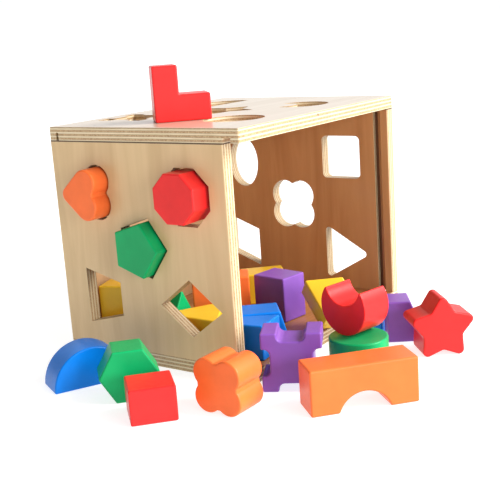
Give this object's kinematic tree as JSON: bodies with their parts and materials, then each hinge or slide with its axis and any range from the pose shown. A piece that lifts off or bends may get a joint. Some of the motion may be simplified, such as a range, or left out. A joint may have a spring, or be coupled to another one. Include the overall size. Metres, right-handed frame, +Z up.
{
  "type": "shape sorter",
  "caption": "Wooden shape-sorting box with shaped holes in its panels, an open sliding-door front and loose painted blocks lying in, on and around it",
  "frame": {"origin": "centre of the box's underside, on the table the box and the loose blocks stand on", "axes": "+Z up; the open front faces -Y; the panel with blocks pushed into it faces -X"},
  "size_m": [0.2787, 0.2586, 0.1842],
  "materials": {
    "birch_ply": "varnished",
    "back_sheet": "varnished",
    "dowel_wood": "varnished",
    "door_ply": "varnished",
    "orange_paint": "satin",
    "red_paint": "satin",
    "green_paint": "satin",
    "blue_paint": "satin",
    "purple_paint": "satin",
    "yellow_paint": "satin"
  },
  "bodies": {
    "box": {"top_panel": "birch_ply", "bottom_panel": "birch_ply", "left_panel": "birch_ply", "right_panel": "birch_ply", "back_panel": "back_sheet", "joint_dowels": "dowel_wood"},
    "sliding_door": {"sliding_door": "door_ply"},
    "orange_heart": {"orange_heart": "orange_paint"},
    "red_octagon": {"red_octagon": "red_paint"},
    "green_pentagon": {"green_pentagon": "green_paint"},
    "red_ell": {"red_ell": "red_paint"},
    "blue_half_disc": {"blue_half_disc": "blue_paint"},
    "green_hexagon": {"green_hexagon": "green_paint"},
    "red_square": {"red_square": "red_paint"},
    "orange_clover": {"orange_clover": "orange_paint"},
    "purple_notched_square": {"purple_notched_square": "purple_paint"},
    "orange_arch": {"orange_arch": "orange_paint"},
    "red_star": {"red_star": "red_paint"},
    "green_disc": {"green_disc": "green_paint"},
    "red_crescent": {"red_crescent": "red_paint"},
    "purple_trapezoid": {"purple_trapezoid": "purple_paint"},
    "blue_wedge": {"blue_wedge": "blue_paint"},
    "blue_trapezoid": {"blue_trapezoid": "blue_paint"},
    "blue_brick": {"blue_brick": "blue_paint"},
    "purple_rectangle": {"purple_rectangle": "purple_paint"},
    "yellow_parallelogram": {"yellow_parallelogram": "yellow_paint"},
    "green_triangle": {"green_triangle": "green_paint"},
    "orange_rectangle": {"orange_rectangle": "orange_paint"},
    "yellow_triangle": {"yellow_triangle": "yellow_paint"},
    "yellow_rectangle": {"yellow_rectangle": "yellow_paint"},
    "yellow_brick": {"yellow_brick": "yellow_paint"}
  },
  "joints": [
    {"name": "door_away", "type": "slide", "parent": "box", "child": "sliding_door", "axis": [0, 1, 0], "range_m": [0, 0.06]},
    {"name": "orange_heart_push", "type": "slide", "parent": "box", "child": "orange_heart", "axis": [1, 0, 0], "range_m": [-0.012, 0.03]},
    {"name": "red_octagon_push", "type": "slide", "parent": "box", "child": "red_octagon", "axis": [1, 0, 0], "range_m": [-0.012, 0.03]},
    {"name": "green_pentagon_push", "type": "slide", "parent": "box", "child": "green_pentagon", "axis": [1, 0, 0], "range_m": [-0.012, 0.03]},
    {"name": "red_ell_lift", "type": "slide", "parent": "box", "child": "red_ell", "axis": [0, 0, 1], "range_m": [0, 0.04]},
    {"name": "blue_half_disc_lift", "type": "slide", "parent": "box", "child": "blue_half_disc", "axis": [0, 0, 1], "range_m": [0, 0.04]},
    {"name": "green_hexagon_lift", "type": "slide", "parent": "box", "child": "green_hexagon", "axis": [0, 0, 1], "range_m": [0, 0.04]},
    {"name": "red_square_lift", "type": "slide", "parent": "box", "child": "red_square", "axis": [0, 0, 1], "range_m": [0, 0.04]},
    {"name": "orange_clover_lift", "type": "slide", "parent": "box", "child": "orange_clover", "axis": [0, 0, 1], "range_m": [0, 0.04]},
    {"name": "purple_notched_square_lift", "type": "slide", "parent": "box", "child": "purple_notched_square", "axis": [0, 0, 1], "range_m": [0, 0.04]},
    {"name": "orange_arch_lift", "type": "slide", "parent": "box", "child": "orange_arch", "axis": [0, 0, 1], "range_m": [0, 0.04]},
    {"name": "red_star_lift", "type": "slide", "parent": "box", "child": "red_star", "axis": [0, 0, 1], "range_m": [0, 0.04]},
    {"name": "green_disc_lift", "type": "slide", "parent": "box", "child": "green_disc", "axis": [0, 0, 1], "range_m": [0, 0.04]},
    {"name": "red_crescent_lift", "type": "slide", "parent": "green_disc", "child": "red_crescent", "axis": [0, 0, 1], "range_m": [0, 0.04]},
    {"name": "purple_trapezoid_lift", "type": "slide", "parent": "box", "child": "purple_trapezoid", "axis": [0, 0, 1], "range_m": [0, 0.04]},
    {"name": "blue_wedge_lift", "type": "slide", "parent": "box", "child": "blue_wedge", "axis": [0, 0, 1], "range_m": [0, 0.04]},
    {"name": "blue_trapezoid_lift", "type": "slide", "parent": "box", "child": "blue_trapezoid", "axis": [0, 0, 1], "range_m": [0, 0.04]},
    {"name": "blue_brick_lift", "type": "slide", "parent": "box", "child": "blue_brick", "axis": [0, 0, 1], "range_m": [0, 0.04]},
    {"name": "purple_rectangle_lift", "type": "slide", "parent": "box", "child": "purple_rectangle", "axis": [0, 0, 1], "range_m": [0, 0.04]},
    {"name": "yellow_parallelogram_lift", "type": "slide", "parent": "box", "child": "yellow_parallelogram", "axis": [0.17, 0.6021, 0.7801], "range_m": [0, 0.02]},
    {"name": "green_triangle_lift", "type": "slide", "parent": "box", "child": "green_triangle", "axis": [0, 0, 1], "range_m": [0, 0.015]},
    {"name": "orange_rectangle_lift", "type": "slide", "parent": "box", "child": "orange_rectangle", "axis": [0, 0, 1], "range_m": [0, 0.04]},
    {"name": "yellow_triangle_lift", "type": "slide", "parent": "box", "child": "yellow_triangle", "axis": [0, 0, 1], "range_m": [0, 0.02]},
    {"name": "yellow_rectangle_lift", "type": "slide", "parent": "box", "child": "yellow_rectangle", "axis": [0, 0, 1], "range_m": [0, 0.04]},
    {"name": "yellow_brick_lift", "type": "slide", "parent": "box", "child": "yellow_brick", "axis": [0, 0, 1], "range_m": [0, 0.04]}
  ]
}
